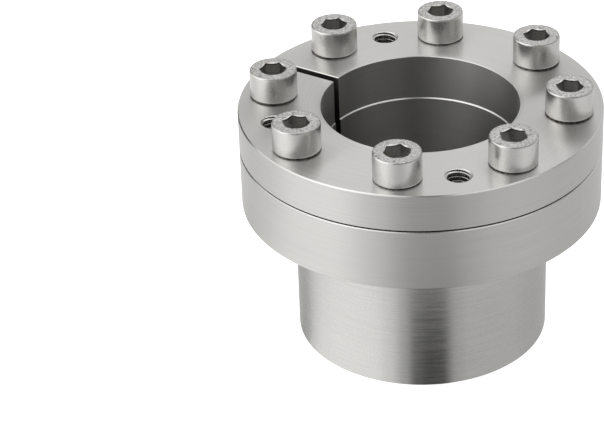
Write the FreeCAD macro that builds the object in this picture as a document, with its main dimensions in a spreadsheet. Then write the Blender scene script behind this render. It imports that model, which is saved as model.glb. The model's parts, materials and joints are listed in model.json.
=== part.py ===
# A shaft locking assembly, the keyless bush that clamps a hub on a plain shaft.
# Two stainless rings fit one inside the other on a shallow cone. Eight socket screws draw them
# together: the slotted inner ring closes on the shaft and the slit sleeve of the outer ring opens
# in the hub. Four tapped holes take jack screws that push the rings apart again.
#
# It stands on the end of its sleeve. Z is the axis of the bore and points to the screw heads, z = 0
# is the end of the sleeve, and the slot of the inner ring faces -X. Lengths are in millimetres and
# angles in degrees.

import FreeCAD, Part
import os
import Sketcher

# Driving dimensions, which the sheet holds: name, value and what it measures
SIZES = (
    ("bore_diameter", 42, "the shaft that the inner ring clamps"),
    ("ring_section", 6.5, "from the bore to the outside of the sleeve"),
    ("thin_wall", 1.5, "wall of the inner ring at its thin end"),
    ("cone_half_angle", 3.7, "slope of the cone between the rings"),
    ("cone_clearance", 0.05, "between the two cones before the screws are tightened"),
    ("end_setback", 1.2, "from the sleeve's end up to the inner ring's end"),
    ("sleeve_length", 32, "the part of the outer ring that goes into the hub"),
    ("collar_thickness", 13.7, "the tapped collar of the outer ring"),
    ("ring_gap", 0.3, "between the collar and the flange"),
    ("flange_thickness", 8.2, "the flange of the inner ring"),
    ("rim_land", 2.15, "from a screw head out to the rim"),
    ("relief_step", 0.25, "how far the mouth of the bore is turned back from the shaft"),
    ("relief_depth", 10.2, "how deep the turned back mouth goes"),
    ("slot_width", 1.9, "the slot right through one side of the inner ring"),
    ("slit_width", 1.5, "the slit in the sleeve"),
    ("slot_edge", 0.15, "the broken edges of the slot in the face"),
    ("edge_break", 0.25, "the broken edges of rims and bores"),
    ("fine_edge", 0.1, "the finer edges of the flange, at the bore and towards the collar"),
    ("collar_mouth", 0.6, "the lead-in of the cone in the collar"),
    ("sleeve_lead", 0.2, "the lead-in at the end of the sleeve"),
    ("screw_count", 8, "clamping screws"),
    ("thread_diameter", 6, "the clamping and jack screws"),
    ("thread_clearance", 0.05, "around a screw in its tapped hole"),
    ("passage_clearance", 0.3, "around a screw in the flange"),
    ("screw_wall", 1.2, "from the sleeve out to a tapped hole"),
    ("screw_length", 20, "under the head"),
    ("screw_point", 0.6, "the chamfer at the end of the thread"),
    ("head_diameter", 10.2, "socket head"),
    ("head_height", 6.2, "socket head"),
    ("head_shoulder", 0.35, "the broken top edge of a head"),
    ("socket_flats", 5.2, "across the flats of the hexagon"),
    ("socket_depth", 3, "to the bottom of the hexagon"),
    ("socket_mouth", 5.8, "the countersink at the top of the socket"),
    ("socket_slope", 30, "slope of that countersink"),
)

# How far each screw happens to be turned, counted round from the slot
SCREW_TURNS = (36, 20, 48, 9, 21, 19, 42, 40)

# Radii and heights that follow from the sheet
BORE = "(sizes.bore_diameter / 2)"
RELIEF = f"({BORE} + sizes.relief_step)"
SLEEVE = f"({BORE} + sizes.ring_section)"
TAPPED_HOLE = "(sizes.thread_diameter / 2 + sizes.thread_clearance)"
PITCH_CIRCLE = f"({SLEEVE} + sizes.screw_wall + {TAPPED_HOLE})"
RIM = f"({PITCH_CIRCLE} + sizes.head_diameter / 2 + sizes.rim_land)"
SLEEVE_END = "0"
RING_END = "sizes.end_setback"
COLLAR_BACK = "sizes.sleeve_length"
COLLAR_FACE = f"({COLLAR_BACK} + sizes.collar_thickness)"
FLANGE_BACK = f"({COLLAR_FACE} + sizes.ring_gap)"
FLANGE_FACE = f"({FLANGE_BACK} + sizes.flange_thickness)"
RELIEF_END = f"({FLANGE_FACE} - sizes.relief_depth)"
SCREW_SPACING = "(360 / sizes.screw_count)"

# How far a cutting shape stands out of what it cuts
OVERRUN = "1"

document = FreeCAD.newDocument("shaft_locking_assembly")
sheet = document.addObject("Spreadsheet::Sheet", "sizes")
for row, (alias, size, meaning) in enumerate(SIZES, start=1):
    sheet.set(f"A{row}", meaning)
    sheet.set(f"B{row}", str(size))
    sheet.setAlias(f"B{row}", alias)
document.recompute()


def value(expression):
    """The number that an expression on the sheet gives now."""
    return float(sheet.evalExpression(expression))


def cone(height, clearance="0"):
    """The cone's radius at a height, wider by a clearance in the outer ring."""
    return (
        f"({BORE} + sizes.thin_wall + ({height} - {RING_END}) * tan(sizes.cone_half_angle)"
        f" + {clearance})"
    )


def new_body(name):
    """A body that carries the name of its piece."""
    body = document.addObject("PartDesign::Body", name)
    body.Label = name
    return body


def new_sketch(body, name, role, height=None):
    """A sketch on one of the body's own origin planes, raised by a height where one is given."""
    sketch = body.newObject("Sketcher::SketchObject", f"{body.Name}_{name}")
    plane = next(part for part in body.Origin.OriginFeatures if part.Role == role)
    sketch.AttachmentSupport = [(plane, "")]
    sketch.MapMode = "FlatFace"
    if height is not None:
        sketch.setExpression("AttachmentOffset.Base.z", height)
    return sketch


def fix_point(sketch, edge, end, across, up):
    """Ties a point of the sketch to expressions for its distances from the origin."""
    for kind, expression in (("DistanceX", across), ("DistanceY", up)):
        constraint = Sketcher.Constraint(kind, -1, 1, edge, end, value(expression))
        index = sketch.addConstraint(constraint)
        sketch.setExpression(f"Constraints[{index}]", expression)


def draw_polygon(sketch, corners):
    """Straight edges round the corners, each corner given by two expressions."""
    points = [FreeCAD.Vector(value(across), value(up), 0) for across, up in corners]
    for start, end in zip(points, points[1:] + points[:1]):
        sketch.addGeometry(Part.LineSegment(start, end))
    for edge in range(len(corners)):
        following = (edge + 1) % len(corners)
        sketch.addConstraint(Sketcher.Constraint("Coincident", edge, 2, following, 1))
    for edge, (across, up) in enumerate(corners):
        fix_point(sketch, edge, 1, across, up)


def draw_circle(sketch, across, up, radius):
    """A circle tied to expressions for its centre and radius."""
    centre = FreeCAD.Vector(value(across), value(up), 0)
    circle = Part.Circle(centre, FreeCAD.Vector(0, 0, 1), value(radius))
    edge = sketch.addGeometry(circle)
    fix_point(sketch, edge, 3, across, up)
    index = sketch.addConstraint(Sketcher.Constraint("Radius", edge, value(radius)))
    sketch.setExpression(f"Constraints[{index}]", radius)


def turn(body, name, corners, kind="PartDesign::Revolution"):
    """Turns a half section, given as radii and heights, round the axis of the body."""
    sketch = new_sketch(body, f"{name}_section", "XZ_Plane")
    draw_polygon(sketch, corners)
    feature = body.newObject(kind, f"{body.Name}_{name}")
    feature.Profile = sketch
    feature.ReferenceAxis = (sketch, ["V_Axis"])
    feature.Angle = 360
    document.recompute()
    return feature


def saw(body, name, corners):
    """Cuts a section on the YZ plane out of the -X side of a ring, from the axis outwards."""
    sketch = new_sketch(body, f"{name}_section", "YZ_Plane")
    draw_polygon(sketch, corners)
    pocket = body.newObject("PartDesign::Pocket", f"{body.Name}_{name}")
    pocket.Profile = sketch
    pocket.Type = "ThroughAll"
    document.recompute()
    return pocket


def drill_circle(body, name, height, steps, diameter, spacing, count):
    """Drills a hole down from a height on the pitch circle and repeats it round the axis.

    The first hole lies a number of steps of half a screw spacing past the slot."""
    angle = f"(180 + {steps} * {SCREW_SPACING} / 2)"
    sketch = new_sketch(body, f"{name}_centre", "XY_Plane", height)
    across = f"{PITCH_CIRCLE} * cos({angle})"
    up = f"{PITCH_CIRCLE} * sin({angle})"
    draw_circle(sketch, across, up, f"({diameter} / 2)")
    document.recompute()
    hole = body.newObject("PartDesign::Hole", f"{body.Name}_{name}")
    hole.Profile = sketch
    document.recompute()
    hole.DepthType = "ThroughAll"
    hole.setExpression("Diameter", diameter)
    document.recompute()
    pattern = body.newObject("PartDesign::PolarPattern", f"{body.Name}_{name}_circle")
    pattern.Originals = [hole]
    pattern.Axis = (sketch, ["N_Axis"])
    pattern.Mode = "Spacing"
    pattern.setExpression("Offset", spacing)
    pattern.setExpression("Occurrences", count)
    body.Tip = pattern
    document.recompute()
    return pattern


def make_outer_ring():
    """The sleeve and its tapped collar, with the cone inside and one slit up to the collar."""
    body = new_body("outer_ring")
    clearance = "sizes.cone_clearance"
    turn(
        body,
        "turned_form",
        (
            (cone(SLEEVE_END, clearance), SLEEVE_END),
            (f"{SLEEVE} - sizes.sleeve_lead", SLEEVE_END),
            (SLEEVE, "sizes.sleeve_lead"),
            (SLEEVE, COLLAR_BACK),
            (f"{RIM} - sizes.edge_break", COLLAR_BACK),
            (RIM, f"{COLLAR_BACK} + sizes.edge_break"),
            (RIM, f"{COLLAR_FACE} - sizes.edge_break"),
            (f"{RIM} - sizes.edge_break", COLLAR_FACE),
            (f"{cone(COLLAR_FACE, clearance)} + sizes.collar_mouth", COLLAR_FACE),
            (
                cone(f"({COLLAR_FACE} - sizes.collar_mouth)", clearance),
                f"{COLLAR_FACE} - sizes.collar_mouth",
            ),
        ),
    )
    saw(
        body,
        "slit",
        (
            ("-sizes.slit_width / 2", f"-{OVERRUN}"),
            ("sizes.slit_width / 2", f"-{OVERRUN}"),
            ("sizes.slit_width / 2", COLLAR_BACK),
            ("-sizes.slit_width / 2", COLLAR_BACK),
        ),
    )
    drill_circle(
        body,
        "tapped_hole",
        height=COLLAR_FACE,
        steps=1,
        diameter=f"2 * {TAPPED_HOLE}",
        spacing=SCREW_SPACING,
        count="sizes.screw_count",
    )
    return body


def make_inner_ring():
    """The flange and the cone that goes into the outer ring, slotted from end to end."""
    body = new_body("inner_ring")
    turn(
        body,
        "turned_form",
        (
            (f"{BORE} + sizes.edge_break", RING_END),
            (f"{cone(RING_END)} - sizes.edge_break", RING_END),
            (
                cone(f"({RING_END} + sizes.edge_break)"),
                f"{RING_END} + sizes.edge_break",
            ),
            (cone(FLANGE_BACK), FLANGE_BACK),
            (f"{RIM} - sizes.fine_edge", FLANGE_BACK),
            (RIM, f"{FLANGE_BACK} + sizes.fine_edge"),
            (RIM, f"{FLANGE_FACE} - sizes.edge_break"),
            (f"{RIM} - sizes.edge_break", FLANGE_FACE),
            (f"{RELIEF} + sizes.fine_edge", FLANGE_FACE),
            (RELIEF, f"{FLANGE_FACE} - sizes.fine_edge"),
            (RELIEF, RELIEF_END),
            (BORE, f"{RELIEF_END} - sizes.relief_step"),
            (BORE, f"{RING_END} + sizes.edge_break"),
        ),
    )
    saw(
        body,
        "slot",
        (
            ("-sizes.slot_width / 2", f"{RING_END} - {OVERRUN}"),
            ("sizes.slot_width / 2", f"{RING_END} - {OVERRUN}"),
            ("sizes.slot_width / 2", f"{FLANGE_FACE} - sizes.slot_edge"),
            ("sizes.slot_width / 2 + sizes.slot_edge", FLANGE_FACE),
            ("sizes.slot_width / 2 + sizes.slot_edge", f"{FLANGE_FACE} + {OVERRUN}"),
            ("-sizes.slot_width / 2 - sizes.slot_edge", f"{FLANGE_FACE} + {OVERRUN}"),
            ("-sizes.slot_width / 2 - sizes.slot_edge", FLANGE_FACE),
            ("-sizes.slot_width / 2", f"{FLANGE_FACE} - sizes.slot_edge"),
        ),
    )
    drill_circle(
        body,
        "screw_passage",
        height=FLANGE_FACE,
        steps=1,
        diameter="sizes.thread_diameter + 2 * sizes.passage_clearance",
        spacing=SCREW_SPACING,
        count="sizes.screw_count",
    )
    drill_circle(
        body,
        "jack_hole",
        height=FLANGE_FACE,
        steps=2,
        diameter="sizes.thread_diameter",
        spacing=f"2 * {SCREW_SPACING}",
        count="floor(sizes.screw_count / 2)",
    )
    return body


def make_screw(number):
    """A socket head cap screw. Its own origin is under the head, on its axis."""
    body = new_body(f"clamp_screw_{number}")
    head = "sizes.head_diameter / 2"
    shank = "sizes.thread_diameter / 2"
    blank = turn(
        body,
        "turned_form",
        (
            ("0", "-sizes.screw_length"),
            (f"{shank} - sizes.screw_point", "-sizes.screw_length"),
            (shank, "-sizes.screw_length + sizes.screw_point"),
            (shank, "0"),
            (head, "0"),
            (head, "sizes.head_height"),
            ("0", "sizes.head_height"),
        ),
    )
    shoulder = body.newObject("PartDesign::Chamfer", f"{body.Name}_head_shoulder")
    shoulder.Base = (blank, [top_edge(blank)])
    shoulder.setExpression("Size", "sizes.head_shoulder")
    document.recompute()
    turn(
        body,
        "socket_mouth",
        (
            ("0", "sizes.head_height"),
            ("sizes.socket_mouth / 2", "sizes.head_height"),
            ("0", "sizes.head_height - sizes.socket_mouth / 2 * tan(sizes.socket_slope)"),
        ),
        kind="PartDesign::Groove",
    )
    punch_hexagon(body)
    place_screw(body, number)
    return body


def top_edge(blank):
    """The name of the widest round edge at the top of a turned form."""
    edges = blank.Shape.Edges
    top = max(edge.BoundBox.ZMin for edge in edges)
    at_top = [i for i, edge in enumerate(edges) if edge.BoundBox.ZMin > top - 1e-6]
    widest = max(at_top, key=lambda i: edges[i].BoundBox.XLength)
    return f"Edge{widest + 1}"


def punch_hexagon(body):
    """Cuts the hexagon socket down from the top of the head, with one corner towards +X."""
    sketch = new_sketch(body, "hexagon", "XY_Plane", "sizes.head_height")
    corner = "sizes.socket_flats / sqrt(3)"
    angles = range(0, 360, 60)
    draw_polygon(
        sketch, [(f"{corner} * cos({a})", f"{corner} * sin({a})") for a in angles]
    )
    pocket = body.newObject("PartDesign::Pocket", f"{body.Name}_socket")
    pocket.Profile = sketch
    pocket.setExpression("Length", "sizes.socket_depth")
    document.recompute()


def place_screw(body, number):
    """Seats a screw on the flange, on the pitch circle, turned as it happens to be."""
    angle = f"(180 + ({number} - 0.5) * {SCREW_SPACING})"
    turned = SCREW_TURNS[(number - 1) % len(SCREW_TURNS)]
    body.Placement = FreeCAD.Placement(
        FreeCAD.Vector(), FreeCAD.Rotation(FreeCAD.Vector(0, 0, 1), turned)
    )
    body.setExpression("Placement.Base.x", f"{PITCH_CIRCLE} * cos({angle})")
    body.setExpression("Placement.Base.y", f"{PITCH_CIRCLE} * sin({angle})")
    body.setExpression("Placement.Base.z", FLANGE_FACE)
    document.recompute()


def check(pieces):
    """Stops if a feature failed or a piece isn't one valid solid."""
    for item in document.Objects:
        if {"Invalid", "Error"} & set(item.State):
            raise RuntimeError(f"{item.Label} did not compute: {item.State}")
    for piece in pieces:
        shape = piece.Shape
        if shape.isNull() or not shape.isValid() or len(shape.Solids) != 1:
            raise RuntimeError(f"{piece.Label} is not one valid solid")


screw_numbers = range(1, int(value("sizes.screw_count")) + 1)
pieces = [make_outer_ring(), make_inner_ring()]
pieces += [make_screw(number) for number in screw_numbers]
document.recompute()
check(pieces)

os.makedirs("parts", exist_ok=True)
for piece in pieces:
    box = piece.Shape.BoundBox
    piece.Shape.exportStep(f"parts/{piece.Label}.step")
    print(
        f"{piece.Label}: {piece.Shape.Volume:.1f} mm3,"
        f" x {box.XMin:.2f} to {box.XMax:.2f}, y {box.YMin:.2f} to {box.YMax:.2f},"
        f" z {box.ZMin:.2f} to {box.ZMax:.2f}"
    )
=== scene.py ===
# %% [markdown]
# # A shaft locking assembly in turned stainless steel
#
# The real part clamps a hub on a plain shaft. Two turned rings fit one inside the other on a cone,
# and eight socket head cap screws draw them together. The rings and the screws come from the packed
# model, which stays fixed. This lesson gives them the surfaces that a lathe, a cold header and a tap
# leave, adds the threads, and lights the part the way a catalogue photo does.

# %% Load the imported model
import json
import math

import bpy
import numpy as np
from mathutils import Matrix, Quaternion, Vector


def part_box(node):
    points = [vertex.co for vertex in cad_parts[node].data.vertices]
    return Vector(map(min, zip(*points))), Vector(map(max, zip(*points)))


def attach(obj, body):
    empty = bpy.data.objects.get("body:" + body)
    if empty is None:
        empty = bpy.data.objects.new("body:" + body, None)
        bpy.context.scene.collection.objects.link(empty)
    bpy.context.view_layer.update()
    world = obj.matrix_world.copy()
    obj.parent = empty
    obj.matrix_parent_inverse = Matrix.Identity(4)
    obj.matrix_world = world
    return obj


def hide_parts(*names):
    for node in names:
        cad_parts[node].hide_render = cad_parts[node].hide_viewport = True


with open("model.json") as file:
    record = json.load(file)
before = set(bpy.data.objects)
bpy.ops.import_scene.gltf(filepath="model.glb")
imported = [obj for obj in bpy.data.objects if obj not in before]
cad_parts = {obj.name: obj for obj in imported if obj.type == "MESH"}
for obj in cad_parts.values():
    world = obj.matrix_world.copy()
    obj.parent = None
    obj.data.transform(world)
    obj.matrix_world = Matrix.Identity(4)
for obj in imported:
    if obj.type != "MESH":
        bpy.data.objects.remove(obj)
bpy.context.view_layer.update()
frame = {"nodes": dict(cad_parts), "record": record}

# %% [markdown]
# ## Sizes
#
# The frame already holds every size that matters. They could be typed in again, but two copies of a
# size drift apart, so each is read: a screw's box gives its axis, tip and head, and the record's
# mounts give the jack holes and the sleeve. Blender works in metres and a machinist in millimetres,
# so one factor goes between them.

# %% Read the sizes from the frame
MM = 0.001

_, ring_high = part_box("inner_ring")
_, collar_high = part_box("outer_ring")
flange_face = ring_high.z / MM
collar_face = collar_high.z / MM
rim_radius = ring_high.y / MM
screw_names = sorted(name for name in frame["nodes"] if name.startswith("clamp_screw"))
mounts = {mount["name"]: mount for mount in frame["record"]["mounts"]}
jack_names = sorted(name for name in mounts if name.startswith("jack_hole"))
# A jack hole's mount is half way through the flange, which gives the height of the flange's back
flange_back = 2 * mounts[jack_names[0]]["pos_m"][2] / MM - flange_face
sleeve_radius = mounts["hub_seat"]["dims"]["r_mm"]
print(len(screw_names), "screws,", len(jack_names), "jack holes, flange face at", flange_face)

# %% [markdown]
# ## Nodes
#
# A material is a small graph. It could be wired by hand in the editor, but code can be read and run
# again, so one function adds any node, sets its options and fills its sockets with plain values or
# with another node's output. A Mix node has sockets of one name for each kind of value, so they go
# by number: 0 is the share of the second value, 2 and 3 are numbers, 6 and 7 are colours, and
# output 2 is the mixed colour. Colours are picked as sRGB hex, as a colour picker shows them, and
# the renderer needs them linear.

# %% Colour and node helpers
def linear(hex_colour):
    """Turns an sRGB hex colour into linear red, green, blue and alpha.

    A dark value is divided by 12.92. Any other has 0.055 added, is divided by 1.055 and is raised
    to the power 2.4."""
    values = [int(hex_colour[i:i + 2], 16) / 255 for i in (1, 3, 5)]
    return (*(v / 12.92 if v <= 0.04045 else ((v + 0.055) / 1.055) ** 2.4 for v in values), 1.0)


def new_material(name):
    """An empty material and its node tree."""
    material = bpy.data.materials.new(name)
    material.use_nodes = True
    material.node_tree.nodes.clear()
    return material, material.node_tree


def add(tree, kind, sockets=None, **settings):
    """Adds a node of a kind, with settings, and fills its sockets by name or number."""
    node = tree.nodes.new(kind)
    for setting, choice in settings.items():
        setattr(node, setting, choice)
    for socket, source in (sockets or {}).items():
        if isinstance(source, bpy.types.NodeSocket):
            tree.links.new(source, node.inputs[socket])
        else:
            node.inputs[socket].default_value = source
    return node


def set_stops(ramp, stops):
    """Gives a colour ramp its greys, from pairs of a position between 0 and 1 and a grey."""
    elements = ramp.color_ramp.elements
    while len(elements) < len(stops):
        elements.new(0.5)
    for element, (position, grey) in zip(elements, stops):
        element.position = position
        element.color = (grey, grey, grey, 1)


# %% [markdown]
# ## Turned stainless steel
#
# Both rings are austenitic stainless steel, bored and faced on a lathe. The tool leaves a fine
# spiral of grooves round the axis. The grooves could be cut into the surface as bump, but each is
# far too fine to see and would only flicker. Together they smear a reflection across themselves: up
# and down on a cylinder, outwards on a face. That is anisotropy, so the tangent of the shader
# follows the section of the ring and not its circumference, and that needs to be known first.

# %% Where a point lies for the lathe
FACE_UPWARD = (0.6, 0.8)
UPRIGHT_PULL = (0, 0, 0.02)


def millimetres(tree):
    """Object coordinates in millimetres."""
    return add(tree, "ShaderNodeVectorMath", {
        0: add(tree, "ShaderNodeTexCoord").outputs["Object"], 1: (1 / MM,) * 3},
        operation="MULTIPLY").outputs[0]


def lathe_coordinates(tree):
    """Where a point lies for the lathe, all in millimetres.

    Gives the point's height, its direction and distance from the axis and the direction round the
    axis, then the normal, how far it points up or down, and how much the point counts as on a face.
    The distance along the section is the height on a cylinder and the radius on a face. The
    section's tangent is the normal crossed with the direction round the axis. On the flanks of a
    sawn slot, which have no section, a small pull makes it upright."""
    point = millimetres(tree)
    height = add(tree, "ShaderNodeSeparateXYZ", {0: point}).outputs["Z"]
    level = add(tree, "ShaderNodeVectorMath", {0: point, 1: (1, 1, 0)}, operation="MULTIPLY")
    outward = add(tree, "ShaderNodeVectorMath", {0: level.outputs[0]}, operation="NORMALIZE")
    radius = add(tree, "ShaderNodeVectorMath", {0: level.outputs[0]}, operation="LENGTH")
    around = add(tree, "ShaderNodeVectorMath", {
        0: (0, 0, 1), 1: outward.outputs[0]}, operation="CROSS_PRODUCT")
    normal = add(tree, "ShaderNodeNewGeometry").outputs["Normal"]
    upward = add(tree, "ShaderNodeMath", {
        0: add(tree, "ShaderNodeSeparateXYZ", {0: normal}).outputs["Z"]}, operation="ABSOLUTE")
    face = add(tree, "ShaderNodeMapRange", {
        "Value": upward.outputs[0], "From Min": FACE_UPWARD[0], "From Max": FACE_UPWARD[1]})
    along = add(tree, "ShaderNodeMix", {
        0: face.outputs[0], 2: height, 3: radius.outputs["Value"]})
    tangent = add(tree, "ShaderNodeVectorMath", {
        0: normal, 1: around.outputs[0]}, operation="CROSS_PRODUCT")
    tangent = add(tree, "ShaderNodeVectorMath", {
        0: tangent.outputs[0], 1: UPRIGHT_PULL}, operation="ADD")
    return {
        "height": height,
        "outward": outward.outputs[0],
        "radius": radius.outputs["Value"],
        "around": around.outputs[0],
        "normal": normal,
        "upward": upward.outputs[0],
        "face": face.outputs[0],
        "along": along.outputs[0],
        "tangent": tangent.outputs[0],
    }


# %% [markdown]
# ## The zones of a ring
#
# Not all of a ring is finished alike, and not all of it is lit alike. Its walls may be painted
# darker for the shade in the bore, the flanks of its slot are sawn and painted darker for the shade
# in the slot, and its broken edges are cut last, in one quick pass, and are smoother than the rest.
# The faces that meet between the rings are painted dark for the shade in their narrow joint, and
# this painted shade creeps a little way over the broken edges beside it. Each zone could be its own
# material on its own faces, but then the borders would be as hard as the faces' edges. Here the way
# the metal faces, and how high and far out it lies, tell the zones apart.

# %% Which zone a point is in
# Each range goes from where a zone is out to where it is fully in
WALL_UPWARD = (0.5, 0.2)
SAWN_SIDEWAYS = (0.85, 0.95)
EDGE_UPWARD = math.sqrt(0.5)
EDGE_REACH = 0.06
# How far the joint's painted shade creeps past the joint, and how far in from the rim it reaches
OIL_CREEP_MM = 0.08
OIL_FROM_RIM_MM = 0.5


def lathe_zones(tree, lathe):
    """Four values that are 1 in a zone and 0 elsewhere: wall, sawn, joint shade and edge.

    A wall's normal is nearly level, a sawn flank's points round the axis, and a broken edge's rises
    at 45 degrees. The joint's painted shade is on what lies at the joint's height and is a face, or
    is close to the rim."""
    wall = add(tree, "ShaderNodeMapRange", {
        "Value": lathe["upward"], "From Min": WALL_UPWARD[0], "From Max": WALL_UPWARD[1]})
    sideways = add(tree, "ShaderNodeVectorMath", {
        0: lathe["normal"], 1: lathe["around"]}, operation="DOT_PRODUCT")
    sideways = add(tree, "ShaderNodeMath", {0: sideways.outputs["Value"]}, operation="ABSOLUTE")
    sawn = add(tree, "ShaderNodeMapRange", {
        "Value": sideways.outputs[0],
        "From Min": SAWN_SIDEWAYS[0], "From Max": SAWN_SIDEWAYS[1]})
    # The joint between the rings is painted dark, for the shade that falls in it
    at_joint = add(tree, "ShaderNodeMath", {
        0: lathe["height"], 1: (flange_back + collar_face) / 2,
        2: 0.5 * (flange_back - collar_face) + OIL_CREEP_MM}, operation="COMPARE")
    at_rim = add(tree, "ShaderNodeMath", {
        0: lathe["radius"], 1: rim_radius - OIL_FROM_RIM_MM}, operation="GREATER_THAN")
    wetted = add(tree, "ShaderNodeMath", {
        0: lathe["face"], 1: at_rim.outputs[0]}, operation="MAXIMUM")
    oiled = add(tree, "ShaderNodeMath", {
        0: at_joint.outputs[0], 1: wetted.outputs[0]}, operation="MULTIPLY")
    edge = add(tree, "ShaderNodeMath", {
        0: lathe["upward"], 1: EDGE_UPWARD, 2: EDGE_REACH}, operation="COMPARE")
    return {
        "wall": wall.outputs[0],
        "sawn": sawn.outputs[0],
        "oiled": oiled.outputs[0],
        "edge": edge.outputs[0],
    }


# %% [markdown]
# ## Broken lines round the axis
#
# What the eye can see on turned steel are broken lines, where the tool chattered or the swarf
# rubbed. A picture of brushed steel could be wrapped round the ring, but it would stretch on the
# faces. Noise laid out along the section and round the axis fits every surface of the ring, and its
# scale is in millimetres. What changes from the bore to the rim goes by distance from the axis.

# %% Marks along the lathe's grooves
def lathe_marks(tree, lathe, spacing, length, detail=0.0):
    """Noise drawn out round the axis: a spacing along the section and a length round it, in mm."""
    turns = rim_radius / length
    around = add(tree, "ShaderNodeVectorMath", {
        0: lathe["outward"], 1: (turns, turns, 0)}, operation="MULTIPLY")
    along = add(tree, "ShaderNodeMath", {0: lathe["along"], 1: 1 / spacing}, operation="MULTIPLY")
    lift = add(tree, "ShaderNodeCombineXYZ", {2: along.outputs[0]})
    where = add(tree, "ShaderNodeVectorMath", {
        0: around.outputs[0], 1: lift.outputs[0]}, operation="ADD")
    return add(tree, "ShaderNodeTexNoise", {
        "Vector": where.outputs[0], "Scale": 1.0, "Detail": detail, "Roughness": 0.6}).outputs[0]


def by_radius(tree, radius, stops):
    """A value between 0 and 1 for each distance from the axis, from pairs in millimetres."""
    share = add(tree, "ShaderNodeMath", {0: radius, 1: rim_radius}, operation="DIVIDE")
    ramp = add(tree, "ShaderNodeValToRGB", {0: share.outputs[0]})
    set_stops(ramp, [(distance / rim_radius, amount) for distance, amount in stops])
    return ramp.outputs[0]


# %% [markdown]
# ## The turned finish
#
# The lines mirror a little better or worse than the metal between them, so they show wherever a
# reflection changes. They could be darker paint on the steel, but real lines vanish where the
# reflection is even, so they are in the roughness, with only a trace in the colour and the bump.

# %% The colour of turned steel
STEEL_LIGHT = "#D2D1CE"
STEEL_DARK = "#C4C3C1"
# Painted shade: the slot's sawn flanks are painted darker, for the shade deep in the slot
SAWN = "#6A6966"
# Painted shade: the joint between the rings is painted dark, for the shade that falls in it
OILED = "#55534E"


def turned_colour(tree, lathe, zones, lines, film):
    """Pale steel with darker lines. On walls a painted shade takes its share, and the slot's sawn
    flanks and the joint between the rings are painted darker for the shade in them."""
    steel = add(tree, "ShaderNodeMix", {
        0: lines, 6: linear(STEEL_DARK), 7: linear(STEEL_LIGHT)}, data_type="RGBA")
    # Painted shade: walls are darkened by the given share, for the shade deep in the bore
    filmed = add(tree, "ShaderNodeMix", {
        0: zones["wall"], 6: steel.outputs[2], 7: by_radius(tree, lathe["radius"], film)},
        data_type="RGBA", blend_type="MULTIPLY")
    slotted = add(tree, "ShaderNodeMix", {
        0: zones["sawn"], 6: filmed.outputs[2], 7: linear(SAWN)}, data_type="RGBA")
    return add(tree, "ShaderNodeMix", {
        0: zones["oiled"], 6: slotted.outputs[2], 7: linear(OILED)}, data_type="RGBA").outputs[2]


# %% The roughness of turned steel
# Two noises multiplied lie mostly between these values
MARK_RANGE = (0.12, 0.4)
# A fresh broken edge has this share of the roughness beside it
EDGE_ROUGHNESS = 0.6


def turned_roughness(tree, lathe, zones, marks, uneven, roughnesses):
    """The average at this distance from the axis, plus or minus its uneven share where the marks
    are strong or weak, and less on fresh broken edges."""
    wander = add(tree, "ShaderNodeMapRange", {
        "Value": marks, "From Min": MARK_RANGE[0], "From Max": MARK_RANGE[1],
        "To Min": -1.0, "To Max": 1.0})
    wander = add(tree, "ShaderNodeMath", {0: wander.outputs[0], 1: uneven}, operation="MULTIPLY")
    average = by_radius(tree, lathe["radius"], roughnesses)
    roughness = add(tree, "ShaderNodeMath", {
        0: average, 1: wander.outputs[0], 2: average}, operation="MULTIPLY_ADD")
    fresh_cut = add(tree, "ShaderNodeMapRange", {
        "Value": zones["edge"], "To Min": 1.0, "To Max": EDGE_ROUGHNESS})
    return add(tree, "ShaderNodeMath", {
        0: roughness.outputs[0], 1: fresh_cut.outputs[0]}, operation="MULTIPLY").outputs[0]


# %% The lathe's finish
# The real lines are about 0.1 mm apart, finer than a dot of the picture, so they are drawn coarser
LINE_MM = 0.2
LINE_LENGTH_MM = 28.0
RUB_MM = 0.35
RUB_LENGTH_MM = 12.0
RUB_DEPTH_MM = 0.0004


def turned_stainless(name, groove_spread, roughnesses, unevenness, film):
    """Turned steel. How far its grooves spread a reflection is the same all over. Its roughness, how
    uneven its lines are, and how much its walls are painted darker for shade go by distance from the
    axis."""
    material, tree = new_material(name)
    lathe = lathe_coordinates(tree)
    zones = lathe_zones(tree, lathe)
    lines = lathe_marks(tree, lathe, LINE_MM, LINE_LENGTH_MM, 1.0)
    rubs = lathe_marks(tree, lathe, RUB_MM, RUB_LENGTH_MM)
    marks = add(tree, "ShaderNodeMath", {0: lines, 1: rubs}, operation="MULTIPLY").outputs[0]
    uneven = by_radius(tree, lathe["radius"], unevenness)
    rub_height = add(tree, "ShaderNodeMath", {0: rubs, 1: uneven}, operation="MULTIPLY")
    relief = add(tree, "ShaderNodeBump", {
        "Height": rub_height.outputs[0], "Strength": 1.0, "Distance": RUB_DEPTH_MM * MM})
    shader = add(tree, "ShaderNodeBsdfPrincipled", {
        "Base Color": turned_colour(tree, lathe, zones, lines, film),
        "Metallic": 1.0,
        "Roughness": turned_roughness(tree, lathe, zones, marks, uneven, roughnesses),
        "Anisotropic": groove_spread,
        "Tangent": lathe["tangent"],
        "Normal": relief.outputs[0],
    })
    add(tree, "ShaderNodeOutputMaterial", {"Surface": shader.outputs[0]})
    return material


# %% Give both rings their steel
# Distances from the axis, in mm, where one stretch of a ring's finish ends and the next begins.
# The wall of the bore and of its mouth is painted darker, for the shade deep in the bore.
SLEEVE_ENDS, COLLAR_BEGINS = 28.5, 30.5
FILM_ENDS, CLEAN_BEGINS = 21.4, 21.7
BORE_ENDS, FLANGE_BEGINS = 21.6, 22.6
FLANGE_ENDS, RIM_BEGINS = 38.6, 38.9

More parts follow.
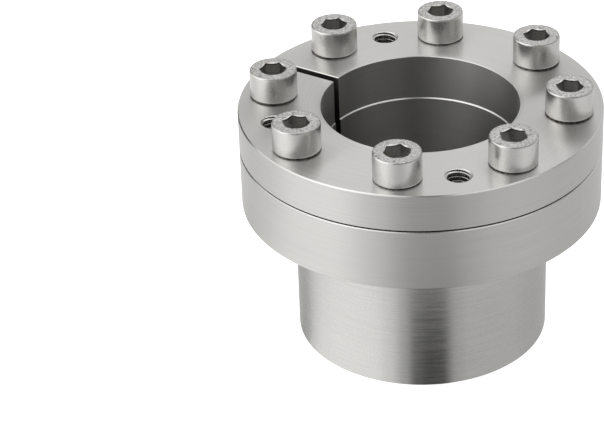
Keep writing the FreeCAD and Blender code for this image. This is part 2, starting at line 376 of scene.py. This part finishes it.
outer_steel = turned_stainless(
    "turned_stainless_collar",
    groove_spread=0.8,
    roughnesses=((SLEEVE_ENDS, 0.3), (COLLAR_BEGINS, 0.38)),
    unevenness=((SLEEVE_ENDS, 0.22), (COLLAR_BEGINS, 0.08)),
    film=((SLEEVE_ENDS, 1.0), (COLLAR_BEGINS, 1.0)))
inner_steel = turned_stainless(
    "turned_stainless_flange",
    groove_spread=0.9,
    roughnesses=((BORE_ENDS, 0.42), (FLANGE_BEGINS, 0.3), (FLANGE_ENDS, 0.3), (RIM_BEGINS, 0.35)),
    unevenness=((BORE_ENDS, 0.02), (FLANGE_BEGINS, 0.04)),
    film=((FILM_ENDS, 0.66), (CLEAN_BEGINS, 1.0)))
frame["nodes"]["outer_ring"].material_slots[0].material = outer_steel
frame["nodes"]["inner_ring"].material_slots[0].material = inner_steel
print("rings finished in", outer_steel.name, "and", inner_steel.name)

# %% [markdown]
# ## Cold headed and pickled stainless steel
#
# The screws are A2 stainless steel, struck cold from wire and pickled. Their skin isn't cut, so it
# has no direction. The sides slid along the die and are smooth. The tops were struck, and carry
# flecks and small dents where the grain of the metal stood up to the punch. Down in the socket and
# under the foot the steel is painted dark for the shade that falls there, and the shoulder is
# painted a little darker towards the top. Each zone could be painted by hand, eight times over.
# Instead the normal tells the struck top from the sides, and the mesh carries the painted shade as a
# value on each point.

# %% The colours that the header leaves, and the painted shade in the socket and under the foot
HEAD_SIDE = "#D6D5D2"
FLECK_LIGHT = "#DBDAD8"
FLECK_DARK = "#A19F9C"
PIT_DARK = "#5E5D5A"
# Painted shade for the socket and under the foot, where shade falls
RESIDUE_DARK = "#3E3C3A"
RESIDUE_LIGHT = "#8A8884"
# The real grain is under 0.1 mm across and wouldn't show, so it is drawn a few times as coarse
FLECK_MM = 0.5
PIT_MM = 0.8
GRAIN_MM = 0.3
STREAK_MM = 0.35
STREAK_LENGTH_MM = 4.0
FLECK_RANGE = (0.3, 0.7)
PIT_RANGE = (0.62, 0.68)
STREAK_RANGE = (0.35, 0.65)


def struck_colour(tree, point, patch):
    """Light and dark flecks, by a patch value between 0 and 1, with a few darker pits."""
    flecked = add(tree, "ShaderNodeMix", {
        0: patch, 6: linear(FLECK_DARK), 7: linear(FLECK_LIGHT)}, data_type="RGBA")
    pits = add(tree, "ShaderNodeTexNoise", {
        "Vector": point, "Scale": 1 / PIT_MM, "Detail": 2.0, "Roughness": 0.7})
    pits = add(tree, "ShaderNodeMapRange", {
        "Value": pits.outputs[0], "From Min": PIT_RANGE[0], "From Max": PIT_RANGE[1]})
    return add(tree, "ShaderNodeMix", {
        0: pits.outputs[0], 6: flecked.outputs[2], 7: linear(PIT_DARK)},
        data_type="RGBA").outputs[2]


def residue_colour(tree, point):
    """The painted shade in the socket and under the foot, drawn as upright streaks."""
    upright = add(tree, "ShaderNodeVectorMath", {
        0: point, 1: (1 / STREAK_MM, 1 / STREAK_MM, 1 / STREAK_LENGTH_MM)}, operation="MULTIPLY")
    streaks = add(tree, "ShaderNodeTexNoise", {
        "Vector": upright.outputs[0], "Scale": 1.0, "Detail": 1.0})
    streaks = add(tree, "ShaderNodeMapRange", {
        "Value": streaks.outputs[0], "From Min": STREAK_RANGE[0], "From Max": STREAK_RANGE[1]})
    return add(tree, "ShaderNodeMix", {
        0: streaks.outputs[0], 6: linear(RESIDUE_DARK), 7: linear(RESIDUE_LIGHT)},
        data_type="RGBA").outputs[2]


# %% The header's finish
STRUCK_UPWARD = (0.5, 0.9)
GRAIN_RANGE = (0.3, 0.7)
SKIN_ROUGHNESS = (0.27, 0.35)
DENT_DEPTH_MM = 0.012
GRAIN_DEPTH_MM = 0.004


def headed_stainless(name):
    """Pickled steel, smooth on its sides, flecked where it was struck, and painted dark where the
    mesh asks for painted shade.
    """
    material, tree = new_material(name)
    point = millimetres(tree)
    facing = add(tree, "ShaderNodeSeparateXYZ", {
        0: add(tree, "ShaderNodeNewGeometry").outputs["Normal"]}).outputs["Z"]
    struck = add(tree, "ShaderNodeMapRange", {
        "Value": facing, "From Min": STRUCK_UPWARD[0], "From Max": STRUCK_UPWARD[1]}).outputs[0]
    fleck = add(tree, "ShaderNodeTexNoise", {
        "Vector": point, "Scale": 1 / FLECK_MM, "Detail": 1.5, "Roughness": 0.6}).outputs[0]
    patch = add(tree, "ShaderNodeMapRange", {
        "Value": fleck, "From Min": FLECK_RANGE[0], "From Max": FLECK_RANGE[1]}).outputs[0]
    wiped = add(tree, "ShaderNodeMix", {
        0: struck, 6: linear(HEAD_SIDE), 7: struck_colour(tree, point, patch)}, data_type="RGBA")
    # The mesh's value paints shade into the socket and under the foot
    unwiped = add(tree, "ShaderNodeAttribute", attribute_name="unwiped").outputs["Fac"]
    colour = add(tree, "ShaderNodeMix", {
        0: unwiped, 6: wiped.outputs[2], 7: residue_colour(tree, point)}, data_type="RGBA")
    grain = add(tree, "ShaderNodeTexNoise", {
        "Vector": point, "Scale": 1 / GRAIN_MM, "Detail": 1.0}).outputs[0]
    roughness = add(tree, "ShaderNodeMapRange", {
        "Value": grain, "From Min": GRAIN_RANGE[0], "From Max": GRAIN_RANGE[1],
        "To Min": SKIN_ROUGHNESS[0], "To Max": SKIN_ROUGHNESS[1]})
    dents = add(tree, "ShaderNodeMath", {0: struck, 1: patch}, operation="MULTIPLY").outputs[0]
    height = add(tree, "ShaderNodeMath", {
        0: grain, 1: GRAIN_DEPTH_MM / DENT_DEPTH_MM, 2: dents}, operation="MULTIPLY_ADD")
    relief = add(tree, "ShaderNodeBump", {
        "Height": height.outputs[0], "Strength": 1.0, "Distance": DENT_DEPTH_MM * MM})
    shader = add(tree, "ShaderNodeBsdfPrincipled", {
        "Base Color": colour.outputs[2],
        "Metallic": 1.0,
        "Roughness": roughness.outputs[0],
        "Normal": relief.outputs[0],
    })
    add(tree, "ShaderNodeOutputMaterial", {"Surface": shader.outputs[0]})
    return material


screw_steel = headed_stainless("pickled_stainless_screw")
print("screws finished in", screw_steel.name, "with", len(screw_steel.node_tree.nodes), "nodes")

# %% [markdown]
# ## Surfaces from grids
#
# A turned piece is a surface of two parameters: how far round the axis, and how far along the
# section. Blender's Screw modifier could turn a flat section too, but a thread or a hexagon changes
# on its way round, and an array can hold that. The points come out of numpy with a row for each
# step along the section and a column for each step round. Neighbours in the array make the faces.
# A section that starts and ends on the axis gets a single point at each end, and one that closes on
# itself needs none.

# %% The faces of a grid
def grid_faces(rows, columns, closed=False):
    """Quads between neighbouring rows of a grid whose columns close into a ring.

    The last row meets the first too where the section is closed."""
    row = np.arange(rows if closed else rows - 1)[:, None]
    column = np.arange(columns)[None]
    above, beside = (row + 1) % rows, (column + 1) % columns
    corners = (row * columns + column, row * columns + beside,
               above * columns + beside, above * columns + column)
    return np.stack(corners, -1).reshape(-1, 4).tolist()


# %% Turn points and faces into a piece
HARD_EDGE_DEGREES = 30


def new_piece(name, points, faces, material):
    """A smooth piece from points in millimetres, with hard edges where its faces turn sharply."""
    mesh = bpy.data.meshes.new(name)
    mesh.from_pydata((points * MM).tolist(), [], faces)
    mesh.shade_smooth()
    mesh.set_sharp_from_angle(angle=math.radians(HARD_EDGE_DEGREES))
    mesh.materials.append(material)
    piece = bpy.data.objects.new(name, mesh)
    bpy.context.scene.collection.objects.link(piece)
    return piece


def turned_solid(name, grid, first_pole, last_pole, material, unwiped):
    """A solid whose section starts and ends on the axis, and how much painted shade each of its rows
    carries.

    The rows run from the foot outwards and up, and the columns anticlockwise, so that each face
    points out of the solid."""
    rows, columns, _ = grid.shape
    ring = np.arange(columns)
    beside = (ring + 1) % columns
    last = (rows - 1) * columns
    foot = np.stack([np.full(columns, rows * columns), beside, ring], -1)
    top = np.stack([last + ring, last + beside, np.full(columns, rows * columns + 1)], -1)
    points = np.vstack([grid.reshape(-1, 3), first_pole, last_pole])
    faces = grid_faces(rows, columns) + foot.tolist() + top.tolist()
    piece = new_piece(name, points, faces, material)
    # Each point carries its share of the painted shade
    layer = piece.data.attributes.new("unwiped", "FLOAT", "POINT")
    layer.data.foreach_set("value", np.append(np.repeat(unwiped, columns), unwiped[[0, -1]]))
    return piece


# %% [markdown]
# ## Threads
#
# An ISO metric thread is a 60 degree ridge that climbs one pitch in each turn. A helix could be
# swept and joined to the shank with a Boolean, which leaves slivers along the whole thread. But the
# radius depends on one number only, the phase: height over pitch, less the angle over a full turn.
# So the thread is a function laid into plain rings, and a screw and its tapped hole share it.

# %% The thread's form
PITCH = 1.0
THREAD_RADIUS = 3.0
THREAD_DEPTH = 0.6134 * PITCH
CREST_SHARE = 1 / 8
ROOT_SHARE = 1 / 4
TURN_STEPS = 72

angles = np.linspace(0, 2 * np.pi, TURN_STEPS, endpoint=False)
cosines, sines = np.cos(angles), np.sin(angles)


def ridge(heights):
    """How far the ridge rises round each height, from 0 at the root to 1 at the crest.

    The phase is the height in pitches less the angle in turns. Its distance from the middle of the
    ridge, in half pitches, is flat near 0, which is the crest, flat near 1, which is the root, and
    falls in a straight line between them, which is the flank."""
    phase = np.mod(heights / PITCH - angles / (2 * np.pi), 1.0)
    away = np.abs(phase - 0.5) * 2
    return 1 - np.clip((away - CREST_SHARE) / (1 - ROOT_SHARE - CREST_SHARE), 0, 1)


def ring_of(radius, height):
    """Rings at a radius and a height, either of which may change round the axis.

    A point lies at the radius times the cosine and the sine of its angle. A column of heights
    gives a ring for each, and a single height gives one row of a grid."""
    radius, height = np.broadcast_arrays(radius, height, angles)[:2]
    return np.stack([radius * cosines, radius * sines, height], -1)


print("thread of", PITCH, "mm pitch,", round(THREAD_DEPTH, 2), "mm deep, in", TURN_STEPS, "steps")

# %% [markdown]
# ## The clamping screws
#
# M6 socket head cap screws to ISO 4762. The solid has the right size with broken edges. The real
# head also has a chamfered foot that leaves a dark line on the flange, a countersink that dips
# between the corners of the hexagon, and a rolled thread. The socket could be cut with a Boolean,
# but its long thin faces would spoil the shading of the top. So one section makes the whole screw,
# and the hexagon is a polar function laid into the same rings.

# %% The screw's sizes
screw_low, screw_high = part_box(screw_names[0])
HEAD_RADIUS = (screw_high.x - screw_low.x) / 2 / MM
HEAD_HEIGHT = screw_high.z / MM - flange_face
SCREW_LENGTH = flange_face - screw_low.z / MM
STEPS_PER_PITCH = 12
NECK_FILLET = 0.35
POINT_CHAMFER = 0.6
SHOULDER_WIDTH = 0.25
SHOULDER_DROP = 0.6
# A ring this far inside the shoulder keeps the top flat right up to it
TOP_RING_INSET = 0.3
FOOT_INSET = 0.2
FOOT_RISE = 0.36
# The painted shade of the foot climbs this far up its chamfer
FOOT_LINE_INSET = 0.1 * FOOT_INSET
FOOT_LINE_RISE = 0.9 * FOOT_RISE
SOCKET_FLATS = 5.2
SOCKET_MOUTH_RADIUS = 2.9
SOCKET_SLOPE = math.radians(30)
SOCKET_DEPTH = 3.0
SOCKET_DRILL_POINT = 0.5
print("head", round(2 * HEAD_RADIUS, 2), "x", round(HEAD_HEIGHT, 2), "mm, length",
      round(SCREW_LENGTH, 2))

# %% How much painted shade the screw carries
# Shares of the painted shade, which darkens the socket and the foot
CLEAN = 0.0
FULL_RESIDUE = 1.0
# One value for each ring of the shoulder, from the side to the top: the shoulder is painted darker
# towards the top
SHOULDER_RESIDUE = (0, 0, 0, 0.1, 0.2, 0.3, 0.3)
SOCKET_EDGE_RESIDUE = 0.95
SOCKET_WALL_RESIDUE = 0.35
SOCKET_END_RESIDUE = 0.4
# How far below the socket's edge the first two of these are reached
SOCKET_EDGE_DROP = 0.1
SOCKET_WALL_DROP = 4 * SOCKET_EDGE_DROP


# %% The shank's surface
def thread_rings():
    """Rings up the shank. The radius is the root plus the ridge, cut by the chamfer of the point
    and drawn in to the root below the head, where the rolling dies run out."""
    steps = int(SCREW_LENGTH / PITCH * STEPS_PER_PITCH)
    heights = np.linspace(-SCREW_LENGTH, -NECK_FILLET - PITCH / 2, steps)[:, None]
    fade = np.clip((-heights - NECK_FILLET - PITCH / 2) / PITCH, 0, 1)
    radius = THREAD_RADIUS - THREAD_DEPTH + THREAD_DEPTH * ridge(heights) * fade
    point = THREAD_RADIUS - POINT_CHAMFER + (heights + SCREW_LENGTH)
    return ring_of(np.minimum(radius, point), heights)


# %% The head's surface
def shoulder_rings():
    """Rings round the head's rounded shoulder, each with its share of the painted shade.

    The shoulder is a quarter of an ellipse, taller than it is wide."""
    turns = np.linspace(0, np.pi / 2, len(SHOULDER_RESIDUE))
    return [(ring_of(HEAD_RADIUS - SHOULDER_WIDTH * (1 - np.cos(turn)),
                     HEAD_HEIGHT - SHOULDER_DROP * (1 - np.sin(turn))), residue)
            for turn, residue in zip(turns, SHOULDER_RESIDUE)]


def head_rings():
    """Rings from the bearing face round the head to the bottom of the socket, each with its share of
    the painted shade.

    The hexagon's radius is half the flats over the cosine of the angle from the nearest flat's
    middle, and its top edge lies where that meets the countersink."""
    sixth = np.pi / 3
    hexagon = SOCKET_FLATS / 2 / np.cos(np.mod(angles, sixth) - sixth / 2)
    mouth = np.maximum(SOCKET_MOUTH_RADIUS, hexagon)
    edge = HEAD_HEIGHT - (mouth - hexagon) * np.tan(SOCKET_SLOPE)
    return [(ring_of(THREAD_RADIUS + NECK_FILLET, 0), FULL_RESIDUE),
            (ring_of(HEAD_RADIUS - FOOT_INSET, 0), FULL_RESIDUE),
            (ring_of(HEAD_RADIUS - FOOT_LINE_INSET, FOOT_LINE_RISE), FULL_RESIDUE),
            (ring_of(HEAD_RADIUS, FOOT_RISE), CLEAN),
            (ring_of(HEAD_RADIUS, 2 * FOOT_RISE), CLEAN),
            (ring_of(HEAD_RADIUS, HEAD_HEIGHT - SHOULDER_DROP - FOOT_RISE), CLEAN),
            *shoulder_rings(),
            (ring_of(HEAD_RADIUS - SHOULDER_WIDTH - TOP_RING_INSET, HEAD_HEIGHT), CLEAN),
            (ring_of((HEAD_RADIUS - SHOULDER_WIDTH + mouth) / 2, HEAD_HEIGHT), CLEAN),
            (ring_of(mouth, HEAD_HEIGHT), CLEAN),
            (ring_of(hexagon, edge), CLEAN),
            (ring_of(hexagon, edge - SOCKET_EDGE_DROP), SOCKET_EDGE_RESIDUE),
            (ring_of(hexagon, edge - SOCKET_WALL_DROP), SOCKET_WALL_RESIDUE),
            (ring_of(hexagon, HEAD_HEIGHT - SOCKET_DEPTH), SOCKET_END_RESIDUE)]


# %% Make the eight screws
# How far each screw happens to be turned, in degrees, counted round from the slot
SCREW_TURNS = (36, 20, 48, 9, 21, 19, 42, 40)


def make_screw(name, turned):
    """A screw on the axis and the seat that its solid has, turned by some degrees."""
    low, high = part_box(name)
    centre = (low + high) / 2 / MM
    shank = thread_rings()
    head, residue = zip(*head_rings())
    grid = np.concatenate([shank, head])
    unwiped = np.append(np.full(len(shank), CLEAN), residue)
    turn = math.radians(turned)
    flat_turn = np.array([[math.cos(turn), -math.sin(turn), 0],
                          [math.sin(turn), math.cos(turn), 0], [0, 0, 1]])
    seat = np.array([centre.x, centre.y, flange_face])
    grid = grid @ flat_turn.T + seat
    foot = seat + (0, 0, -SCREW_LENGTH)
    bottom = seat + (0, 0, HEAD_HEIGHT - SOCKET_DEPTH - SOCKET_DRILL_POINT)
    piece = turned_solid(f"{name}_threaded", grid, foot, bottom, screw_steel, unwiped)
    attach(piece, name)
    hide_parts(name)
    return piece


screws = [make_screw(name, turned) for name, turned in zip(screw_names, SCREW_TURNS)]
print("each screw has", len(screws[0].data.polygons), "faces")

# %% [markdown]
# ## Tapped steel
#
# A tap leaves a brighter, finer cut than the lathe, with no grain round the big axis. The lathe's
# material could be used here too, but it would smear each flank's reflection the wrong way. So the
# tap has a plain material of its own, with fine tears in it.

# %% The tap's finish
TAPPED_LIGHT = "#D0CFCC"
TAPPED_DARK = "#B4B3B0"
TAPPED_ROUGHNESS = (0.22, 0.3)
# Real tears are under 0.1 mm and wouldn't show, so they are drawn coarser
TAP_TEAR_MM = 0.25


def tapped_stainless(name):
    """Steel cut by a tap: smooth flanks with fine tears."""
    material, tree = new_material(name)
    tears = add(tree, "ShaderNodeTexNoise", {
        "Vector": millimetres(tree), "Scale": 1 / TAP_TEAR_MM, "Detail": 1.0}).outputs[0]
    colour = add(tree, "ShaderNodeMix", {
        0: tears, 6: linear(TAPPED_DARK), 7: linear(TAPPED_LIGHT)}, data_type="RGBA")
    roughness = add(tree, "ShaderNodeMapRange", {
        "Value": tears, "To Min": TAPPED_ROUGHNESS[0], "To Max": TAPPED_ROUGHNESS[1]})
    shader = add(tree, "ShaderNodeBsdfPrincipled", {
        "Base Color": colour.outputs[2], "Metallic": 1.0, "Roughness": roughness.outputs[0]})
    add(tree, "ShaderNodeOutputMaterial", {"Surface": shader.outputs[0]})
    return material


tapped_steel = tapped_stainless("tapped_stainless")
print("threads finished in", tapped_steel.name)

# %% [markdown]
# ## Tapped holes
#
# Four holes in the flange are tapped for the screws that push the rings apart, and the collar has
# eight for the clamping screws, whose last turns stay empty and show from below. The threads could
# be bump on the walls, but the camera looks in at a slant and sees the crests stand one behind
# another. The solids' holes have the outer diameter of the thread, so each thread is a thin
# threaded sleeve that lines its hole.

# %% A threaded sleeve
# The tap drill leaves a thread half a pitch deep. Its steps are finer than a screw's, because it is
# seen from close by the hole's mouth, where each crest shows against a dark root.
TAPPED_DEPTH = 0.5 * PITCH
TAPPED_STEPS_PER_PITCH = 36
# The sleeve's outside is sunk into the wall, its roots stand off the wall, and its ends stop short
WALL_SUNK = 0.03
ROOT_LIFT = 0.12
SLEEVE_INSET = 0.02
MOUTH_SLOPE = 2.0


def tapped_wall(name, centre, low, high, radius, body):
    """The thread in one hole between two heights, in millimetres.

    The wall's depth into the hole is what the thread's groove leaves, no more than the tap drill
    left, and no more than the distance to either mouth times the slope of its flat countersink.
    Its section closes on itself: up the sunk outside, over the edge and down the thread."""
    low, high = low + SLEEVE_INSET, high - SLEEVE_INSET
    steps = int((high - low) / PITCH * TAPPED_STEPS_PER_PITCH)
    heights = np.linspace(high, low, steps)[:, None]
    depth = np.minimum(TAPPED_DEPTH, THREAD_DEPTH * (1 - ridge(heights)))
    to_mouth = np.minimum(high - heights, heights - low)
    inside = radius - ROOT_LIFT - np.minimum(depth, MOUTH_SLOPE * to_mouth)
    outside = ring_of(radius + WALL_SUNK, np.array([[low], [high]]))
    grid = np.concatenate([outside, ring_of(inside, heights)]) + (centre[0], centre[1], 0)
    faces = grid_faces(*grid.shape[:2], closed=True)
    piece = new_piece(name, grid.reshape(-1, 3), faces, tapped_steel)
    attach(piece, body)
    return piece


# %% Line the jack holes and the empty ends of the collar's holes
# How far a clamping screw is clear of its hole's wall, and of the thread below its tip
THREAD_CLEARANCE = 0.05
TIP_CLEARANCE = 0.25

for name in jack_names:
    centre = [value / MM for value in mounts[name]["pos_m"]]
    tapped_wall(f"{name}_thread", centre, flange_back, flange_face, THREAD_RADIUS,
                "inner_ring")

collar_back = mounts["hub_stop_face"]["pos_m"][2] / MM
for name in screw_names:
    low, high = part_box(name)
    centre = (low + high) / 2 / MM
    tapped_wall(f"{name}_tapped_end", centre, collar_back, low.z / MM - TIP_CLEARANCE,
                THREAD_RADIUS + THREAD_CLEARANCE, "outer_ring")
print("threads in", len(jack_names), "jack holes and", len(screw_names), "holes of the collar")

# %% [markdown]
# ## Camera
#
# The photo looks down on the part with a long lens. The camera could be pushed about by hand until
# the picture fits, but angles can be measured: it stands at a bearing and a height angle round an
# aim point on the axis, and is then panned, because the part isn't in the middle of the picture.

# %% Place the camera
# The angles and distances come from the ellipses that the rings make in the picture
IMAGE_WIDTH = 604
FOCAL_LENGTH_PIXELS = 2407.0
SENSOR_MM = 36.0
CLIP_NEAR, CLIP_FAR = 0.05, 20.0
CAMERA_BEARING = math.radians(31.03)
CAMERA_HEIGHT_ANGLE = math.radians(31.40)
CAMERA_DISTANCE = 0.5288
AIM = Vector((0, 0, 0.02543))
PAN, TILT, ROLL = (math.radians(a) for a in (2.834, 0.025, 0.568))


def towards(bearing, height_angle):
    """A unit vector at a bearing, counted anticlockwise from -Y as seen from above.

    Its upward part is the sine of the height angle. The cosine is its level part, which the sine
    and cosine of the bearing share out between X and -Y."""
    return Vector((math.sin(bearing) * math.cos(height_angle),
                   -math.cos(bearing) * math.cos(height_angle), math.sin(height_angle)))


lens = bpy.data.cameras.new("camera")
lens.sensor_width = SENSOR_MM
lens.lens = SENSOR_MM * FOCAL_LENGTH_PIXELS / IMAGE_WIDTH
lens.clip_start, lens.clip_end = CLIP_NEAR, CLIP_FAR
camera = bpy.data.objects.new("camera", lens)
back = towards(CAMERA_BEARING, CAMERA_HEIGHT_ANGLE)
camera.location = AIM + back * CAMERA_DISTANCE
camera.rotation_mode = "QUATERNION"
camera.rotation_quaternion = (
    (-back).to_track_quat("-Z", "Y")
    @ Quaternion((0, 1, 0), PAN)
    @ Quaternion((1, 0, 0), TILT)
    @ Quaternion((0, 0, 1), -ROLL)
)
bpy.context.scene.collection.objects.link(camera)
bpy.context.scene.camera = camera
print("lens", round(lens.lens, 2), "mm, camera at", camera.location)

# %% [markdown]
# ## Light
#
# Bare metal shows nothing but its surroundings. Lamps could light it, but each would stand in the
# metal as a hard bright patch, so the light is drawn as a soft room. Everything is given by bearing,
# which is the angle round the part as the camera sees it: 0 is the camera's side, positive is to the
# right. The world has a ring of brightness for the horizon, which only steep glances on the broken
# edges reach, one for what stands as high as the camera, and one for the soft boxes above. A dark
# strip is the camera's own place.

# %% The room by bearing
# Each pair is a bearing in degrees and how bright the room is there
HORIZON_LIGHT = ((-180, 0.8), (-165, 0.5), (-150, 0.12), (-125, 0.12), (-110, 1.4), (-95, 2.0),
                 (-55, 1.9), (-30, 0.9), (-12, 0.25), (60, 0.25), (100, 0.3), (118, 0.8),
                 (180, 0.8))
ROOM_LIGHT = ((-180, 0.86), (-155, 0.6), (-140, 0.85), (-125, 0.85), (-112, 1.0), (-90, 1.4),
              (-70, 1.7), (-50, 1.85), (-30, 1.0), (-12, 0.28), (10, 0.3), (30, 0.38),
              (70, 0.39), (100, 0.45), (118, 0.7), (140, 0.7), (180, 0.86))
ROOF_LIGHT = ((-180, 1.15), (-120, 1.6), (-60, 1.8), (-30, 1.4), (-16, 0.95), (-6, 0.4),
              (2, 0.3), (16, 0.28), (23, 0.5), (31, 1.0), (50, 1.15), (80, 1.3), (140, 1.6),
              (180, 1.15))
# The ramps keep to greys up to 1, so brightness is divided by this in them and multiplied by it in
# the strength of the light
LIGHT_SCALE = 2.0


# %% Light that goes by bearing
def bearing_of(tree, direction):
    """The bearing of a direction or a place, from 0 at -180 degrees to 1 at 180 degrees."""
    turned = add(tree, "ShaderNodeVectorRotate", {
        "Vector": direction, "Angle": math.pi / 2 - CAMERA_BEARING}, rotation_type="Z_AXIS")
    parts = add(tree, "ShaderNodeSeparateXYZ", {0: turned.outputs[0]})
    angle = add(tree, "ShaderNodeMath", {
        0: parts.outputs["Y"], 1: parts.outputs["X"]}, operation="ARCTAN2")
    return add(tree, "ShaderNodeMapRange", {
        "Value": angle.outputs[0], "From Min": -math.pi, "From Max": math.pi}).outputs[0]


def light_ring(tree, bearing, stops):
    """Brightness by bearing, from pairs of degrees and brightness."""
    ramp = add(tree, "ShaderNodeValToRGB", {0: bearing})
    ramp.color_ramp.interpolation = "EASE"
    set_stops(ramp, [((degrees + 180) / 360, brightness / LIGHT_SCALE)
                     for degrees, brightness in stops])
    return ramp.outputs[0]


def blend_lights(tree, first, second, place, start, end):
    """One light that turns into another as a value goes from a start to an end."""
    share = add(tree, "ShaderNodeMapRange", {
        "Value": place, "From Min": start, "From Max": end}, interpolation_type="SMOOTHSTEP")
    return add(tree, "ShaderNodeMix", {
        0: share.outputs[0], 6: first, 7: second}, data_type="RGBA").outputs[2]


# %% Surround the part with soft light
# The height of a glance is its upward part, from 0 when level to 1 straight up
HORIZON_FADE = (0.3, 0.45)
ROOM_FADE = (0.6, 0.75)

world = bpy.data.worlds.new("studio")
bpy.context.scene.world = world
world.use_nodes = True
sky = world.node_tree
sky.nodes.clear()
glance = add(sky, "ShaderNodeTexCoord").outputs["Generated"]
glance_height = add(sky, "ShaderNodeSeparateXYZ", {0: glance}).outputs["Z"]
glance_bearing = bearing_of(sky, glance)
horizon, room, roof = (light_ring(sky, glance_bearing, stops)
                       for stops in (HORIZON_LIGHT, ROOM_LIGHT, ROOF_LIGHT))
glow = blend_lights(sky, horizon, room, glance_height, *HORIZON_FADE)
glow = blend_lights(sky, glow, roof, glance_height, *ROOM_FADE)
studio = add(sky, "ShaderNodeBackground", {"Color": glow, "Strength": LIGHT_SCALE})
add(sky, "ShaderNodeOutputWorld", {"Surface": studio.outputs[0]})
print("room drawn with", len(sky.nodes), "nodes")

# %% [markdown]
# ## The light on the table
#
# The upright walls mirror the table, and the table isn't evenly lit: the part's own shadow falls
# towards the camera, so close to the sleeve the white board is dark ahead and bright on the left,
# and further out, where the rims look, it is nearly even. Lamps and a real shadow could give that,
# but not to the degree. A table drawn for reflections only holds that light.
#
# The streaks on the sleeve stand upright, so the light near the part goes by the side of the sleeve
# that mirrors a place, and not by the bearing of the place itself. A glance leaves the wall at twice
# the wall's own bearing, so the place's bearing grows from once to twice the wall's as it gets
# further away: it is about 2 less the sleeve's radius over the distance.

# %% The table by the side of the sleeve near the part, and by bearing further out
NEAR_LIGHT = ((-180, 0.75), (-110, 0.75), (-95, 0.58), (-84, 0.6), (-75, 0.48), (-69, 0.55),
              (-63, 0.85), (-55, 1.07), (-42, 1.15), (-22, 1.12), (-15, 0.93), (-8, 0.52),
              (-3, 0.16), (3, 0.08), (9, 0.1), (16, 0.54), (22, 0.63), (45, 0.64), (60, 0.57),
              (70, 0.54), (90, 0.56), (110, 0.75), (180, 0.75))
FAR_LIGHT = ((-180, 0.9), (-130, 0.95), (-112, 0.84), (-95, 0.84), (-70, 1.08), (-45, 1.12),
             (-25, 0.84), (-5, 0.6), (12, 0.57), (26, 0.68), (40, 0.8), (55, 0.82), (66, 0.79),
             (82, 0.74), (110, 0.7), (180, 0.9))
NEAR_MM = 56.0
FAR_MM = 92.0

# %% Draw the table's light
STRAIGHT_AHEAD = 0.5


def sleeve_side(tree, bearing, distance):
    """The side of the sleeve that mirrors a place on the table, as a bearing from 0 to 1.

    It is the place's bearing over 2 less the sleeve's radius over the distance."""
    nearness = add(tree, "ShaderNodeMath", {0: sleeve_radius, 1: distance}, operation="DIVIDE")
    growth = add(tree, "ShaderNodeMath", {0: 2.0, 1: nearness.outputs[0]}, operation="SUBTRACT")
    turn = add(tree, "ShaderNodeMath", {0: bearing, 1: STRAIGHT_AHEAD}, operation="SUBTRACT")
    turn = add(tree, "ShaderNodeMath", {
        0: turn.outputs[0], 1: growth.outputs[0]}, operation="DIVIDE")
    return add(tree, "ShaderNodeMath", {
        0: turn.outputs[0], 1: STRAIGHT_AHEAD}, operation="ADD").outputs[0]


def lit_table(name):
    """Light that leaves the table, by the side of the sleeve near it and by bearing far from it."""
    material, tree = new_material(name)
    place = millimetres(tree)
    distance = add(tree, "ShaderNodeVectorMath", {0: place}, operation="LENGTH").outputs["Value"]
    bearing = bearing_of(tree, place)
    near = light_ring(tree, sleeve_side(tree, bearing, distance), NEAR_LIGHT)
    far = light_ring(tree, bearing, FAR_LIGHT)
    glow = blend_lights(tree, near, far, distance, NEAR_MM, FAR_MM)
    light = add(tree, "ShaderNodeEmission", {"Color": glow, "Strength": LIGHT_SCALE})
    add(tree, "ShaderNodeOutputMaterial", {"Surface": light.outputs[0]})
    return material


# %% [markdown]
# ## The floor
#
# The part stands on a matt white board. The drawn table could be seen by the camera as well, but a
# catalogue floor is an even white, so the camera sees a plain board that no reflection shows. The
# inside of the part shades the board under the bore, and a darker disc stands for that. All three
# lie just under the part, a hair apart.

# %% Boards and discs
BOARD_ROUGHNESS = 0.9
DISC_CORNERS = 96


def board(name, hex_colour, glow_strength):
    """Matt board, and how much it glows."""
    material, tree = new_material(name)
    shader = add(tree, "ShaderNodeBsdfPrincipled", {
        "Base Color": linear(hex_colour), "Roughness": BOARD_ROUGHNESS,
        "Emission Color": linear("#FFFFFF"), "Emission Strength": glow_strength})
    add(tree, "ShaderNodeOutputMaterial", {"Surface": shader.outputs[0]})
    return material


def flat_disc(name, radius, height, material):
    """A level disc: one face whose corners lie evenly on a circle."""
    turn = np.linspace(0, 2 * np.pi, DISC_CORNERS, endpoint=False)
    rim = np.stack([radius * np.cos(turn), radius * np.sin(turn),
                    np.full(DISC_CORNERS, height)], -1)
    mesh = bpy.data.meshes.new(name)
    mesh.from_pydata(rim.tolist(), [], [list(range(DISC_CORNERS))])
    mesh.materials.append(material)
    disc = bpy.data.objects.new(name, mesh)
    bpy.context.scene.collection.objects.link(disc)
    return disc


# %% Lay the floor, the disc under the bore and the table
# Radii and heights in metres
FLOOR_RADIUS = 3.0
BORE_DISC_RADIUS = 0.0268
BORE_DISC_HEIGHT = -0.00005
FLOOR_HEIGHT = 2 * BORE_DISC_HEIGHT
TABLE_HEIGHT = 4 * BORE_DISC_HEIGHT
FLOOR_WHITE = "#F7F7F7"
FLOOR_GLOW = 0.75
SHADED_GREY = "#8C8C8B"

white_board = board("matt_white_board", FLOOR_WHITE, FLOOR_GLOW)
floor = flat_disc("floor", FLOOR_RADIUS, FLOOR_HEIGHT, white_board)
floor.visible_glossy = False
shaded_board = board("shaded_board", SHADED_GREY, 0)
flat_disc("floor_under_bore", BORE_DISC_RADIUS, BORE_DISC_HEIGHT, shaded_board)
table = flat_disc("table_in_reflections", FLOOR_RADIUS, TABLE_HEIGHT, lit_table("lit_table"))
table.visible_camera = table.visible_diffuse = table.visible_shadow = False
bpy.context.scene.view_settings.view_transform = "Standard"
print("stage:", floor.name, "and", table.name)
